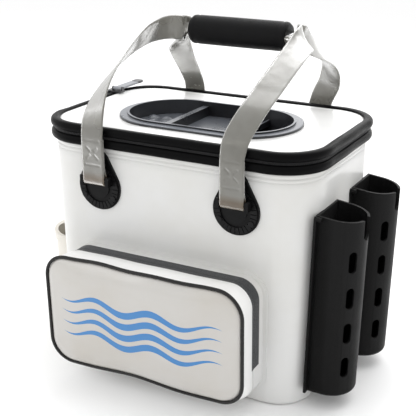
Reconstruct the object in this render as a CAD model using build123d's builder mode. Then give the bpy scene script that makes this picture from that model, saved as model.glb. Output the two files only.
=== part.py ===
from build123d import *
from math import atan, cos, degrees, radians, sin
import os

# Fishing keep bag: a tapered welded box with a zipped lid, a drop-in port in the lid,
# four strap lugs, two carrying straps under one grip, a zipped front pocket,
# two rod holders on the right wall and a bottle holder on the left wall.
# Millimetres. The origin is the centre of the flat bottom, +Z up, the front faces -Y.

# Body
body_width = 352.0
body_depth = 222.0
wall_top = 291.0
wall_lean = 6.0
body_corner = 50.0
wall = 4.0
tray_height = 14.0
floor_thickness = 5.0
tray_edge_radius = 7.0
board_thickness = 2.5
board_gap = 1.5

# Zipped band round the top, and the lid
binding_height = 10.0
binding_overhang = 4.0
binding_roundness = 3.0
lid_binding_width = 9.0
zip_gap = 4.0
tape_setback = 2.5
tape_split = 0.4
lid_thickness = 5.0
lid_recess = 2.0
hinge_leaf = 1.0
hinge_leaf_height = 9.0
hinge_leaf_width = 236.0

# Zip slider and pull on the lid's left edge
slider_length = 20.0
slider_depth = 5.0
slider_gap = 0.3
slider_y = 52.0
slider_tongue = 2.0
pull_length = 42.0
pull_tip_length = 14.0
pull_width = 12.0
pull_thickness = 2.4
pull_pin_radius = 1.5
pin_clearance = 0.06
pull_inset = 10.0
pull_lift = 3.0
pull_eye_wall = 0.9
pull_tip_swell = 0.6
pull_tip_corner = 3.0
arm_thickness = 2.0
slider_skirt = 4.0
slider_edge = 1.5
ear_width = 1.8
ear_gap = 0.3

# Port in the lid
port_length = 234.0
port_width = 140.0
port_x = 4.0
port_y = -10.0
flange_thickness = 3.0
flange_rim = 12.0
port_lip_height = 2.0
port_lip_width = 2.5
well_wall = 2.5
well_depth = 25.0
well_floor = 2.5
ridge_width = 8.0
ridge_height = 12.0
flap_length = 62.0
flap_gap = 1.0
flap_thickness = 2.5
dome_radius = 8.0
dome_height = 3.0
drop_length = 52.0
port_pin_radius = 1.5
barrel_radius = 3.2
barrel_length = 14.0
spring_wire = 0.8
spring_length = 16.0
spring_turns = 8
spring_gap = 0.4
dome_pitch = 19.0
dome_spots = ((-1, 1), (0, 1), (1, 1), (-0.5, 0), (0.5, 0))
barrel_centre = 18.0
ring_thickness = 2.5
ring_overlap = 6.0
port_screw_radius = 1.5
port_screw_head = 2.8
port_screw_head_height = 1.6
port_screw_bite = 1.5
screw_inset = 4.5
screw_straight_x = 30.0
screw_arc_angle = 40.0
port_seat = 0.5
floor_drop = 13.0
flange_edge = 1.2
drop_lip_height = 5.0
eye_centre = 34.0
port_pin_length = 84.0

# Strap lugs
lug_x = 91.0
lug_height = 242.0
lug_disc_radius = 29.0
lug_top_radius = 15.0
lug_top_rise = 30.0
lug_thickness = 3.0
lug_ring_inner = 19.0
lug_ring_outer = 27.0
lug_ring_height = 2.0
lug_hub_radius = 14.0
lug_hub_height = 1.2
lug_ticks = 28
lug_tick_width = 1.2
lug_tick_depth = 1.2
lug_tick_overrun = 1.0
bar_radius = 3.0
bar_rise = 10.0
bar_standoff = 10.0
bar_post = 4.0
post_height = 12.0
post_gap = 0.8
post_edge = 1.0
lug_edge = 0.8
rivet_radius = 2.0
rivet_clearance = 0.05
rivet_circle_radius = 23.0
rivet_head_radius = 3.4
rivet_head_height = 1.2
backing_radius = 27.0
backing_thickness = 2.0

# Straps and grip
strap_width = 30.0
strap_thickness = 2.0
loop_clearance = 0.08
weld_length = 52.0
fold_rise = 16.0
grip_x = 26.0
grip_y = 25.0
grip_z = 413.0
grip_length = 128.0
grip_radius = 17.0
grip_edge = 2.0
hand_strap_width = 28.0
hand_strap_split = 0.8
twist_gap = 1.0
twist_length = 12.0
twist_steps = 3

# The turns of each strap's leg: how far past its lug's middle line, the shares of the way
# across and up to the grip, and the way that the strap's width points
front_left_turns = (
    (-0.5, 0.029, 0.195, (0.96, 0.03, 0.22)),
    (-0.5, 0.122, 0.414, (0.88, -0.12, 0.42)),
    (-0.5, 0.283, 0.597, (0.78, -0.33, 0.53)),
    (-0.2, 0.498, 0.753, (0.64, -0.44, 0.63)),
    (2.0, 0.678, 0.867, (0.48, -0.5, 0.72)),
    (7.0, 0.806, 0.945, (0.28, -0.5, 0.82)),
    (14.0, 0.889, 0.982, (0.14, -0.42, 0.9)),
    (22.0, 0.936, 1.003, (0.06, -0.25, 0.96)),
    (31.0, 0.962, 1.007, (0.03, -0.06, 0.99)),
)
front_right_turns = (
    (3.0, 0.025, 0.195, (0.97, 0.22, 0.08)),
    (11.0, 0.136, 0.414, (0.91, 0.38, 0.02)),
    (18.0, 0.364, 0.634, (0.92, 0.36, -0.08)),
    (23.5, 0.618, 0.844, (0.93, 0.25, -0.2)),
    (25.5, 0.766, 0.948, (0.9, 0.12, -0.43)),
    (25.3, 0.853, 0.994, (0.76, 0.16, -0.63)),
    (23.0, 0.92, 1.015, (0.5, 0.2, -0.84)),
    (18.5, 0.967, 1.014, (0.2, 0.05, -0.97)),
)
back_left_turns = (
    (1.5, 0.048, 0.167, (1.0, 0.0, 0.08)),
    (3.7, 0.214, 0.359, (0.98, 0.0, 0.18)),
    (6.2, 0.396, 0.524, (0.95, 0.0, 0.3)),
    (9.0, 0.527, 0.643, (0.9, 0.05, 0.43)),
    (13.0, 0.642, 0.739, (0.8, 0.15, 0.58)),
    (19.5, 0.758, 0.831, (0.62, 0.27, 0.74)),
    (27.0, 0.864, 0.913, (0.35, 0.33, 0.87)),
    (33.0, 0.932, 0.968, (0.08, 0.16, 0.98)),
)
back_right_turns = (
    (5.0, 0.018, 0.167, (0.99, -0.05, -0.05)),
    (16.0, 0.083, 0.359, (0.97, -0.15, -0.12)),
    (23.0, 0.234, 0.547, (0.9, -0.3, -0.25)),
    (24.5, 0.426, 0.703, (0.8, -0.42, -0.4)),
    (24.0, 0.577, 0.785, (0.62, -0.52, -0.55)),
    (22.0, 0.718, 0.858, (0.42, -0.56, -0.7)),
    (19.9, 0.819, 0.908, (0.3, -0.52, -0.8)),
    (16.6, 0.914, 0.96, (0.12, -0.33, -0.93)),
)

# Grip slot
slot_front_gap = 0.5
slot_top_gap = 0.5
slot_drop = 5.2

# Front pocket
pocket_width = 250.0
pocket_bottom = 17.0
pocket_height = 150.0
pocket_corner = 24.0
pocket_wall = 2.5
pocket_base_depth = 26.0
pocket_flange = 5.0
pocket_flange_thickness = 1.5
pocket_seam = 0.4
front_width = 258.0
front_bottom = 33.0
front_height = 138.0
front_corner = 28.0
pocket_depth = 68.0
panel_thickness = 6.0
panel_roundness = 3.0
piping_width = 3.0
piping_height = 5.0
piping_roundness = 1.4
pocket_tape_width = 13.0
pocket_tape_thickness = 0.8
pocket_tape_end = 62.0
pocket_slider_z = 74.0
pocket_slider_size = 14.0
pocket_slider_depth = 4.0
pocket_pull_length = 30.0
pocket_pull_width = 7.0
pocket_pull_thickness = 2.2
pocket_pull_pin = 1.2
pocket_pull_gap = 1.0
pocket_slider_gap = 0.9
pocket_slider_width = 11.4

# Rod holders on the right wall
holder_front_inset = 58.0
holder_rear_inset = 54.0
holder_ys = (holder_front_inset - body_depth / 2, body_depth / 2 - holder_rear_inset)
holder_width = 62.0
holder_depth = 50.0
holder_wall = 3.0
holder_bottom = 18.0
holder_top = 242.0
holder_top_drop = 5.0
holder_floor = 3.0
holder_foot_radius = 7.0
notch_width = 16.0
notch_depth = 30.0
slot_width = 10.0
slot_height = 26.0
slot_pitch = 44.0
slot_count = 4
slot_bottom = 58.0
slot_angle = 40.0
flange_start = 3.0
flange_width = 7.0
hook_radius = 3.0
hook_length = 8.0
holder_rivet_heights = (60.0, 200.0)

# Bottle holder on the left wall
side_back_width = 104.0
side_back_bottom = 26.0
side_back_top = 252.0
side_back_thickness = 3.0
sleeve_width = 94.0
sleeve_depth = 48.0
sleeve_bottom = 146.0
sleeve_top = 249.0
cup_width = 102.0
cup_depth = 62.0
cup_bottom = 28.0
cup_top = 137.0
side_wall = 3.0
rim_overhang = 2.0
rim_height = 10.0
window_width = 46.0
window_height = 60.0
window_centre = 181.0
side_back_corner = 14.0
drain_radius = 4.0

os.makedirs("parts", exist_ok=True)

# Sizes that follow from the ones above
taper = degrees(atan(wall_lean / wall_top))
lean = sin(radians(taper))
upright = cos(radians(taper))
bottom_width = body_width - 2 * wall_lean
bottom_depth = body_depth - 2 * wall_lean
bottom_corner = body_corner - wall_lean
band_width = body_width + 2 * binding_overhang
band_depth = body_depth + 2 * binding_overhang
band_corner = body_corner + binding_overhang
lower_roll_top = wall_top + binding_height
upper_roll_bottom = lower_roll_top + zip_gap
band_top = upper_roll_bottom + binding_height
zip_line = lower_roll_top + zip_gap / 2
lid_top = band_top - lid_recess
lid_bottom = lid_top - lid_thickness
lid_width = band_width - 2 * lid_binding_width
lid_depth = band_depth - 2 * lid_binding_width
lid_corner = band_corner - lid_binding_width

# Frames that lie on the outer face of each leaning wall, with local Y up the wall
front_wall = Plane(origin=(0, -bottom_depth / 2, 0), x_dir=(1, 0, 0), z_dir=(0, -upright, -lean))
back_wall = Plane(origin=(0, bottom_depth / 2, 0), x_dir=(-1, 0, 0), z_dir=(0, upright, -lean))


def save(part, label):
    """Names a finished piece and writes its file."""
    part.label = label
    export_step(part, f"parts/{label}.step")


def tapered_box(bottom_inset, low, high):
    """The body's outer form between two heights, drawn in by an inset."""
    lean_out = wall_lean * low / wall_top
    with BuildPart(mode=Mode.PRIVATE) as box:
        with BuildSketch(Plane.XY.offset(low)):
            RectangleRounded(
                bottom_width + 2 * lean_out - 2 * bottom_inset,
                bottom_depth + 2 * lean_out - 2 * bottom_inset,
                bottom_corner + lean_out - bottom_inset,
            )
        extrude(amount=high - low, taper=-taper)
    return box.part


# The moulded tray that closes the bottom, with a soft outer edge
with BuildPart() as base_tray:
    add(tapered_box(0, 0, tray_height))
    fillet(base_tray.faces().sort_by(Axis.Z)[0].edges(), tray_edge_radius)
    add(tapered_box(wall, floor_thickness, tray_height), mode=Mode.SUBTRACT)
save(base_tray.part, "base_tray")

# A stiff board that lies loose in the tray
with BuildPart() as floor_board:
    add(tapered_box(wall + board_gap, floor_thickness, floor_thickness + board_thickness))
save(floor_board.part, "floor_board")

# Rivet places on a lug, on the wall's own frame, and the holes they need through the wall
rivet_spots = PolarLocations(rivet_circle_radius, 3, start_angle=90)


def lug_frames():
    """Each lug's name and its frame: local Y up the wall, local Z outward."""
    frames = []
    for side, plane in (("front", front_wall), ("back", back_wall)):
        for hand, sign in (("left", -1), ("right", 1)):
            x = sign * lug_x * plane.x_dir.X
            origin = plane.from_local_coords((x, lug_height, 0))
            frames.append((f"{side}_{hand}", Plane(origin=origin, x_dir=plane.x_dir, z_dir=plane.z_dir)))
    return frames


def holder_frame(y, side):
    """A frame on a side wall at the floor line: local Y outward, local Z up the wall."""
    origin = (side * bottom_width / 2, y, 0)
    return Plane(origin=origin, x_dir=(0, -side, 0), z_dir=(side * lean, 0, upright))


# The welded walls, one tapered sleeve that stands on the tray
hole_reach = 2 * wall
with BuildPart() as body_walls:
    add(tapered_box(0, tray_height, wall_top))
    add(tapered_box(wall, tray_height, wall_top), mode=Mode.SUBTRACT)
    for _, frame in lug_frames():
        with BuildSketch(frame.offset(-hole_reach)):
            with rivet_spots:
                Circle(rivet_radius + rivet_clearance)
        extrude(amount=hole_reach + wall, mode=Mode.SUBTRACT)
    for y, side in ((holder_ys[0], 1), (holder_ys[1], 1), (0, -1)):
        for height in holder_rivet_heights:
            frame = holder_frame(y, side)
            spot = Plane(origin=frame.from_local_coords((0, -hole_reach, height)), z_dir=frame.y_dir)
            with BuildSketch(spot):
                Circle(rivet_radius + rivet_clearance)
            extrude(amount=hole_reach + wall, mode=Mode.SUBTRACT)
save(body_walls.part, "body_walls")

# Black rolls that bind the top of the walls and the lid's edge
inner_width = body_width - 2 * wall
inner_depth = body_depth - 2 * wall
inner_corner = body_corner - wall

with BuildPart() as body_binding:
    with BuildSketch(Plane.XY.offset(wall_top)):
        RectangleRounded(band_width, band_depth, band_corner)
        RectangleRounded(inner_width, inner_depth, inner_corner, mode=Mode.SUBTRACT)
    extrude(amount=binding_height)
    fillet(body_binding.faces().sort_by(SortBy.AREA)[-1].edges(), binding_roundness)
save(body_binding.part, "body_binding")

with BuildPart() as lid_binding:
    with BuildSketch(Plane.XY.offset(upper_roll_bottom)):
        RectangleRounded(band_width, band_depth, band_corner)
        RectangleRounded(lid_width, lid_depth, lid_corner, mode=Mode.SUBTRACT)
    extrude(amount=binding_height)
    fillet(lid_binding.faces().sort_by(SortBy.AREA)[-1].edges(), binding_roundness)
save(lid_binding.part, "lid_binding")

# The two zip tapes, set back between the rolls, that meet at the line of teeth
tape_width = band_width - 2 * tape_setback
tape_depth = band_depth - 2 * tape_setback
tape_corner = band_corner - tape_setback
tape_height = (zip_gap - tape_split) / 2

with BuildPart() as body_zip_tape:
    with BuildSketch(Plane.XY.offset(lower_roll_top)):
        RectangleRounded(tape_width, tape_depth, tape_corner)
        RectangleRounded(inner_width, inner_depth, inner_corner, mode=Mode.SUBTRACT)
    extrude(amount=tape_height)
save(body_zip_tape.part, "body_zip_tape")

with BuildPart() as lid_zip_tape:
    with BuildSketch(Plane.XY.offset(upper_roll_bottom)):
        RectangleRounded(tape_width, tape_depth, tape_corner)
        RectangleRounded(lid_width, lid_depth, lid_corner, mode=Mode.SUBTRACT)
    extrude(amount=-tape_height)
save(lid_zip_tape.part, "lid_zip_tape")

# The strip along the back that the lid folds on, one leaf on each roll
for label, side in (("hinge_leaf_body", -1), ("hinge_leaf_lid", 1)):
    with BuildPart() as hinge_leaf_part:
        with BuildSketch(Plane.XY.offset(zip_line + side * tape_split / 2)):
            with Locations((0, (band_depth + hinge_leaf) / 2)):
                Rectangle(hinge_leaf_width, hinge_leaf)
        extrude(amount=side * hinge_leaf_height)
    save(hinge_leaf_part.part, label)

# The port's sizes that its pieces share
port = Location((port_x, port_y, 0))
hole_length = port_length - 2 * flange_rim
hole_width = port_width - 2 * flange_rim
well_length = hole_length + 2 * well_wall
well_width = hole_width + 2 * well_wall
cut_length = well_length + 2 * port_seat
cut_width = well_width + 2 * port_seat
arc_offset = (port_length - port_width) / 2
screw_radius_line = port_width / 2 - screw_inset
screw_arc = radians(screw_arc_angle)
screw_spots = [
    (sx * x, sy * y)
    for sx in (-1, 1)
    for sy in (-1, 1)
    for x, y in (
        (screw_straight_x, screw_radius_line),
        (arc_offset + screw_radius_line * cos(screw_arc), screw_radius_line * sin(screw_arc)),
    )
]
floor_top = lid_top - floor_drop
floor_bottom = floor_top - well_floor
flap_left = -hole_length / 2 + flap_gap
flap_right = flap_left + flap_length
floor_left = flap_right + flap_gap
floor_right = hole_length / 2 - drop_length
port_pin_x = floor_left + barrel_radius - flap_gap
port_pin_z = floor_bottom - barrel_radius - flap_gap

# The lid's panel, with the port's cut-out and screw holes
with BuildPart() as lid_panel:
    with BuildSketch(Plane.XY.offset(lid_bottom)):
        RectangleRounded(lid_width, lid_depth, lid_corner)
        with Locations(port):
            SlotOverall(cut_length, cut_width, mode=Mode.SUBTRACT)
            with Locations(screw_spots):
                Circle(port_screw_radius + rivet_clearance, mode=Mode.SUBTRACT)
    extrude(amount=lid_thickness)
save(lid_panel.part, "lid_panel")

# The port's frame: a flange on the lid, a raised lip, a well and the fixed finger basin
with BuildPart() as port_frame:
    with BuildSketch(Plane.XY.offset(lid_top)):
        with Locations(port):
            SlotOverall(port_length, port_width)
    extrude(amount=flange_thickness)
    fillet(port_frame.faces().sort_by(Axis.Z)[-1].edges(), flange_edge)
    with BuildSketch(Plane.XY.offset(lid_top + flange_thickness)):
        with Locations(port):
            SlotOverall(hole_length + 2 * port_lip_width, hole_width + 2 * port_lip_width)
    extrude(amount=port_lip_height)
    with BuildSketch(Plane.XY.offset(lid_top - well_depth)):
        with Locations(port):
            SlotOverall(well_length, well_width)
    extrude(amount=well_depth)
    with BuildSketch(Plane.XY.offset(lid_top - well_depth)):
        with Locations(port):
            SlotOverall(hole_length, hole_width)
    extrude(amount=well_depth + flange_thickness + port_lip_height, mode=Mode.SUBTRACT)
    # The basin's floor fills the middle of the well
    with BuildSketch(Plane.XY.offset(floor_bottom)):
        with Locations(port):
            SlotOverall(well_length, well_width)
            with Locations(((floor_left + floor_right) / 2, 0)):
                Rectangle(floor_right - floor_left, well_width, mode=Mode.INTERSECT)
    extrude(amount=well_floor)
    # The ridge that the fingers grip, and the low lip at the drop opening
    for x, width, height in (
        (floor_left + ridge_width / 2, ridge_width, ridge_height),
        (floor_right - well_wall / 2, well_wall, drop_lip_height),
    ):
        with BuildSketch(Plane.XY.offset(floor_top)):
            with Locations(port):
                SlotOverall(well_length, well_width)
                with Locations((x, 0)):
                    Rectangle(width, well_width, mode=Mode.INTERSECT)
        extrude(amount=height)
    # Two eyes under the floor hold the flap's pin
    for side in (-1, 1):
        eye_y = port_y + side * eye_centre
        with BuildSketch(Plane.XZ.offset(-eye_y - barrel_length / 2)):
            with Locations((port_x + port_pin_x, port_pin_z)):
                Circle(barrel_radius)
            with Locations((port_x + port_pin_x, (port_pin_z + floor_bottom) / 2)):
                Rectangle(2 * barrel_radius, floor_bottom - port_pin_z)
        extrude(amount=barrel_length)
    with BuildSketch(Plane.XZ.offset(-port_y - port_pin_length / 2)):
        with Locations((port_x + port_pin_x, port_pin_z)):
            Circle(port_pin_radius + pin_clearance)
    extrude(amount=port_pin_length, mode=Mode.SUBTRACT)
    # Blind holes for the screws that come up from inside
    with BuildSketch(Plane.XY.offset(lid_top)):
        with Locations(port):
            with Locations(screw_spots):
                Circle(port_screw_radius + rivet_clearance)
    extrude(amount=port_screw_bite, mode=Mode.SUBTRACT)
save(port_frame.part, "port_frame")

# The domed push-down flap at the left of the port, with two barrels on the pin
with BuildPart() as port_flap:
    with BuildSketch(Plane.XY.offset(floor_bottom)):
        with Locations(port):
            SlotOverall(hole_length - 2 * flap_gap, hole_width - 2 * flap_gap)
            with Locations(((flap_left + flap_right) / 2, 0)):
                Rectangle(flap_length, hole_width, mode=Mode.INTERSECT)
    extrude(amount=flap_thickness)
    dome_sphere = (dome_radius**2 + dome_height**2) / (2 * dome_height)
    dome_centre = (port_x + (flap_left + flap_right) / 2, port_y)
    for x, y in dome_spots:
        with BuildSketch(Plane.XZ.offset(-dome_centre[1] - y * dome_pitch)):
            with Locations((dome_centre[0] + x * dome_pitch, floor_top - dome_sphere + dome_height)):
                Circle(dome_sphere)
            with Locations((dome_centre[0] + x * dome_pitch, floor_top)):
                Rectangle(dome_radius, 2 * dome_height, align=(Align.MIN, Align.MIN), mode=Mode.INTERSECT)
        revolve(axis=Axis((dome_centre[0] + x * dome_pitch, dome_centre[1] + y * dome_pitch, 0), (0, 0, 1)))
    for side in (-1, 1):
        barrel_y = port_y + side * barrel_centre
        with BuildSketch(Plane.XZ.offset(-barrel_y - barrel_length / 2)):
            with Locations((port_x + port_pin_x, port_pin_z)):
                Circle(barrel_radius)
            with Locations((port_x + flap_right, port_pin_z)):
                Rectangle(2 * barrel_radius, floor_bottom - port_pin_z, align=(Align.MAX, Align.MIN))
            with Locations((port_x + port_pin_x, port_pin_z)):
                Rectangle(barrel_radius * 2, barrel_radius, align=(Align.MAX, Align.CENTER))
        extrude(amount=barrel_length)
    with BuildSketch(Plane.XZ.offset(-port_y - port_pin_length / 2)):
        with Locations((port_x + port_pin_x, port_pin_z)):
            Circle(port_pin_radius + pin_clearance)
    extrude(amount=port_pin_length, mode=Mode.SUBTRACT)
save(port_flap.part, "port_flap")

# The flap's pin, and the coil spring wound round its middle
with BuildPart() as port_pin:
    with BuildSketch(Plane.XZ.offset(-port_y - port_pin_length / 2)):
        with Locations((port_x + port_pin_x, port_pin_z)):
            Circle(port_pin_radius)
    extrude(amount=port_pin_length)
save(port_pin.part, "port_pin")

spring_radius = port_pin_radius + spring_gap + spring_wire / 2
spring_start = (port_x + port_pin_x, port_y - spring_length / 2, port_pin_z)
with BuildPart() as port_spring:
    with BuildLine() as coil:
        Helix(
            pitch=spring_length / spring_turns,
            height=spring_length,
            radius=spring_radius,
            center=spring_start,
            direction=(0, 1, 0),
        )
    with BuildSketch(Plane(origin=coil.line @ 0, z_dir=coil.line % 0)):
        Circle(spring_wire / 2)
    sweep(path=coil.line, is_frenet=True)
save(port_spring.part, "port_spring")

# The ring under the lid that clamps the port's frame, and its screws
with BuildPart() as port_ring:
    with BuildSketch(Plane.XY.offset(lid_bottom - ring_thickness)):
        with Locations(port):
            SlotOverall(cut_length + 2 * ring_overlap, cut_width + 2 * ring_overlap)
            SlotOverall(cut_length, cut_width, mode=Mode.SUBTRACT)
            with Locations(screw_spots):
                Circle(port_screw_radius + rivet_clearance, mode=Mode.SUBTRACT)
    extrude(amount=ring_thickness)
save(port_ring.part, "port_ring")

with BuildPart() as port_screws:
    with BuildSketch(Plane.XY.offset(lid_bottom - ring_thickness)):
        with Locations(port):
            with Locations(screw_spots):
                Circle(port_screw_radius)
    extrude(amount=ring_thickness + lid_thickness + port_screw_bite)
    with BuildSketch(Plane.XY.offset(lid_bottom - ring_thickness)):
        with Locations(port):
            with Locations(screw_spots):
                Circle(port_screw_head)
    extrude(amount=-port_screw_head_height)
save(port_screws.part, "port_screws")

# The lid's zip slider, outside the rolls, with an arm over the top that carries the pull
slider_outer = band_width / 2 + slider_gap + slider_depth
arm_z = band_top + slider_gap
pull_pin_z = arm_z + arm_thickness + pull_lift
pull_x = -band_width / 2 + pull_inset
with BuildPart() as zip_slider:
    with BuildSketch(Plane.XY.offset(wall_top + slider_skirt)):
        with Locations((-slider_outer + slider_depth / 2, slider_y)):
            Rectangle(slider_depth, slider_length)
    extrude(amount=arm_z + arm_thickness - wall_top - slider_skirt)
    fillet(zip_slider.edges().filter_by(Axis.Z), slider_edge)
    with BuildSketch(Plane.XY.offset(arm_z)):
        with Locations((-slider_outer, slider_y)):
            Rectangle(
                slider_outer + pull_x + pull_width / 2 + ear_gap + ear_width,
                slider_length / 2,
                align=(Align.MIN, Align.CENTER),
            )
    extrude(amount=arm_thickness)
    # The keel that runs in the groove along the teeth
    with BuildSketch(Plane.XY.offset(zip_line + tape_split / 2)):
        with Locations((-slider_outer + slider_depth, slider_y)):
            Rectangle(slider_gap + slider_tongue, slider_length / 2, align=(Align.MIN, Align.CENTER))
    extrude(amount=tape_height - slider_gap)
    for side in (-1, 1):
        ear_x = pull_x + side * (pull_width / 2 + ear_gap + ear_width / 2)
        with BuildSketch(Plane.YZ.offset(ear_x - ear_width / 2)):
            with Locations((slider_y, pull_pin_z)):
                Circle(pull_thickness)
            with Locations((slider_y, arm_z)):
                Rectangle(2 * pull_thickness, pull_pin_z - arm_z, align=(Align.CENTER, Align.MIN))
        extrude(amount=ear_width)
    with BuildSketch(Plane.YZ.offset(pull_x - pull_width / 2 - ear_gap)):
        with Locations((slider_y, pull_pin_z)):
            Circle(pull_pin_radius)
    extrude(amount=pull_width + 2 * ear_gap)
save(zip_slider.part, "zip_slider")

# The pull lies back along the lid's edge: a flat tab with an eye, and a black tip
with BuildPart() as zip_pull:
    with BuildSketch(Plane.YZ.offset(pull_x - pull_width / 2)):
        with Locations((slider_y, pull_pin_z)):
            Circle(pull_pin_radius + pull_eye_wall)
            Rectangle(pull_length, pull_thickness, align=(Align.MIN, Align.CENTER))
            Circle(pull_pin_radius + pin_clearance, mode=Mode.SUBTRACT)
    extrude(amount=pull_width)
save(zip_pull.part, "zip_pull")

with BuildPart() as zip_pull_tip:
    with BuildSketch(Plane.YZ.offset(pull_x - pull_width / 2)):
        with Locations((slider_y + pull_length, pull_pin_z)):
            Rectangle(pull_tip_length, pull_thickness + pull_tip_swell, align=(Align.MIN, Align.CENTER))
    extrude(amount=pull_width)
    fillet(zip_pull_tip.edges().filter_by(Axis.Z), pull_tip_corner)
save(zip_pull_tip.part, "zip_pull_tip")

# Strap lugs: a teardrop plate, a ticked ring, a hub, and a bar between two posts
lug_face = lug_thickness + lug_ring_height
post_offset = strap_width / 2 + post_gap + bar_post / 2
for label, frame in lug_frames():
    with BuildPart() as lug:
        with BuildSketch(frame):
            Circle(lug_disc_radius)
            with Locations((0, lug_top_rise)):
                Circle(lug_top_radius)
            make_hull()
        extrude(amount=lug_thickness)
        fillet(lug.faces().sort_by(Axis(frame.origin, frame.z_dir))[-1].edges(), lug_edge)
        with BuildSketch(frame.offset(lug_thickness)):
            Circle(lug_ring_outer)
            Circle(lug_ring_inner, mode=Mode.SUBTRACT)
        extrude(amount=lug_ring_height)
        with BuildSketch(frame.offset(lug_face)):
            with PolarLocations((lug_ring_inner + lug_ring_outer) / 2, lug_ticks):
                Rectangle(lug_ring_outer - lug_ring_inner + 2 * lug_tick_overrun, lug_tick_width)
        extrude(amount=-lug_tick_depth, mode=Mode.SUBTRACT)
        with BuildSketch(frame.offset(lug_thickness)):
            Circle(lug_hub_radius)
        extrude(amount=lug_hub_height)
        with BuildSketch(frame.offset(lug_thickness)):
            with Locations((-post_offset, bar_rise), (post_offset, bar_rise)):
                RectangleRounded(bar_post, post_height, post_edge)
        extrude(amount=bar_standoff + bar_radius + post_edge - lug_thickness)
        bar_start = frame.from_local_coords((-post_offset, bar_rise, bar_standoff))
        with BuildSketch(Plane(origin=bar_start, z_dir=frame.x_dir)):
            Circle(bar_radius)
        extrude(amount=2 * post_offset)
        with BuildSketch(frame):
            with rivet_spots:
                Circle(rivet_radius + rivet_clearance)
        extrude(amount=lug_face, mode=Mode.SUBTRACT)
    save(lug.part, f"{label}_lug")

# Backing plates inside the walls, and the rivets that clamp each lug to its plate
wall_normal = wall * upright
with BuildPart() as lug_backings:
    for _, frame in lug_frames():
        with BuildSketch(frame.offset(-wall_normal)):
            Circle(backing_radius)
            with rivet_spots:
                Circle(rivet_radius + rivet_clearance, mode=Mode.SUBTRACT)
        extrude(amount=-backing_thickness)
save(lug_backings.part, "lug_backings")

with BuildPart() as lug_rivets:
    inside = -wall_normal - backing_thickness
    for _, frame in lug_frames():
        with BuildSketch(frame.offset(inside)):
            with rivet_spots:
                Circle(rivet_radius)
        extrude(amount=lug_face - inside)
        for height, direction in ((lug_face, 1), (inside, -1)):
            with BuildSketch(frame.offset(height)):
                with rivet_spots:
                    Circle(rivet_head_radius)
            extrude(amount=direction * rivet_head_height)
save(lug_rivets.part, "lug_rivets")

# Straps: a loop round each bar with its end folded up and welded, two legs that twist on
# their way up to the grip, and a flat stretch that passes through it
bar_point = front_wall.from_local_coords((0, lug_height + bar_rise, bar_standoff))
loop_inner = bar_radius + loop_clearance
loop_outer = loop_inner + strap_thickness
layer = loop_inner + strap_thickness / 2
weld_top = bar_point.Z + weld_length


def leg_sections(foot, turns, rise):
    """The planes and widths of a strap's cross sections, from its foot up to the grip's end.

    Next to the grip both straps twist together about its middle line, where one lies over
    the other by twice the rise."""
    hand = foot.X / lug_x
    inward = Vector(-hand, 0, 0)
    places = [foot]
    for past_lug, across, up, _ in turns:
        places.append(foot + Vector(past_lug, across * (grip_y - foot.Y), up * (grip_z - foot.Z)))
    widths = [Vector(1, 0, 0)] + [Vector(*width) for *_, width in turns]
    twist = []
    for step in range(twist_steps + 1):
        angle = radians(90 * step / twist_steps)
        x = grip_x + hand * (grip_length / 2 + twist_gap + twist_length * (1 - step / twist_steps))
        place = Vector(x, grip_y - rise * cos(angle), grip_z + rise * sin(angle))
        twist.append(Plane(origin=place, x_dir=(0, -hand * sin(angle), -hand * cos(angle)), z_dir=inward))
    courses = [b - a for a, b in zip(places, places[2:] + [twist[0].origin])]
    courses.insert(0, Vector(0, 0, 1))
    planes = [Plane(origin=p, x_dir=w, z_dir=c) for p, w, c in zip(places, widths, courses)] + twist
    return list(zip(planes, [strap_width] * (len(planes) - 1) + [hand_strap_width]))


strap_ends = (
    ("front_strap", -1, front_left_turns, front_right_turns),
    ("back_strap", 1, back_left_turns, back_right_turns),
)
hand_rise = (hand_strap_split + strap_thickness) / 2
for label, side, left_turns, right_turns in strap_ends:
    bar_y = -side * bar_point.Y
    outer_y = bar_y + side * layer
    left, right = (
        leg_sections(Vector(hand * lug_x, outer_y, weld_top), turns, -side * hand_rise)
        for hand, turns in ((-1, left_turns), (1, right_turns))
    )
    # The right leg is turned about, so that the strap runs on from the left foot to the right
    turned = [(Plane(origin=p.origin, x_dir=-p.x_dir, z_dir=-p.z_dir), w) for p, w in reversed(right)]
    with BuildPart() as strap:
        for stretch in zip(left + turned, (left + turned)[1:]):
            for plane, width in stretch:
                with BuildSketch(plane):
                    Rectangle(width, strap_thickness)
            loft(ruled=True)
        for hand in (-1, 1):
            with BuildSketch(Plane.YZ.offset(hand * lug_x - strap_width / 2)):
                with Locations((bar_y, bar_point.Z)):
                    Circle(loop_outer)
                with BuildLine():
                    Line((outer_y, bar_point.Z), (outer_y, weld_top))
                trace(line_width=strap_thickness)
                with BuildLine():
                    Polyline(
                        (bar_y - side * layer, bar_point.Z),
                        (outer_y - side * strap_thickness, bar_point.Z + fold_rise),
                        (outer_y - side * strap_thickness, weld_top),
                    )
                trace(line_width=strap_thickness)
                with Locations((bar_y, bar_point.Z)):
                    Circle(loop_inner, mode=Mode.SUBTRACT)
            extrude(amount=strap_width)
    save(strap.part, label)

# The foam grip wraps the front strap; its seam at the back lets the back strap slide out
with BuildPart() as grip:
    with BuildSketch(Plane.YZ.offset(grip_x - grip_length / 2)):
        with Locations((grip_y, grip_z)):
            Circle(grip_radius)
    extrude(amount=grip_length)
    fillet(grip.edges().filter_by(GeomType.CIRCLE), grip_edge)
    slot_top = grip_z + hand_strap_split / 2 + strap_thickness + slot_top_gap
    with BuildSketch(Plane.YZ.offset(grip_x - grip_length / 2)):
        with Locations((grip_y - hand_strap_width / 2 - slot_front_gap, grip_z - slot_drop)):
            Rectangle(2 * grip_radius, slot_top - grip_z + slot_drop, align=(Align.MIN, Align.MIN))
    extrude(amount=grip_length, mode=Mode.SUBTRACT)
save(grip.part, "grip")

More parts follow.
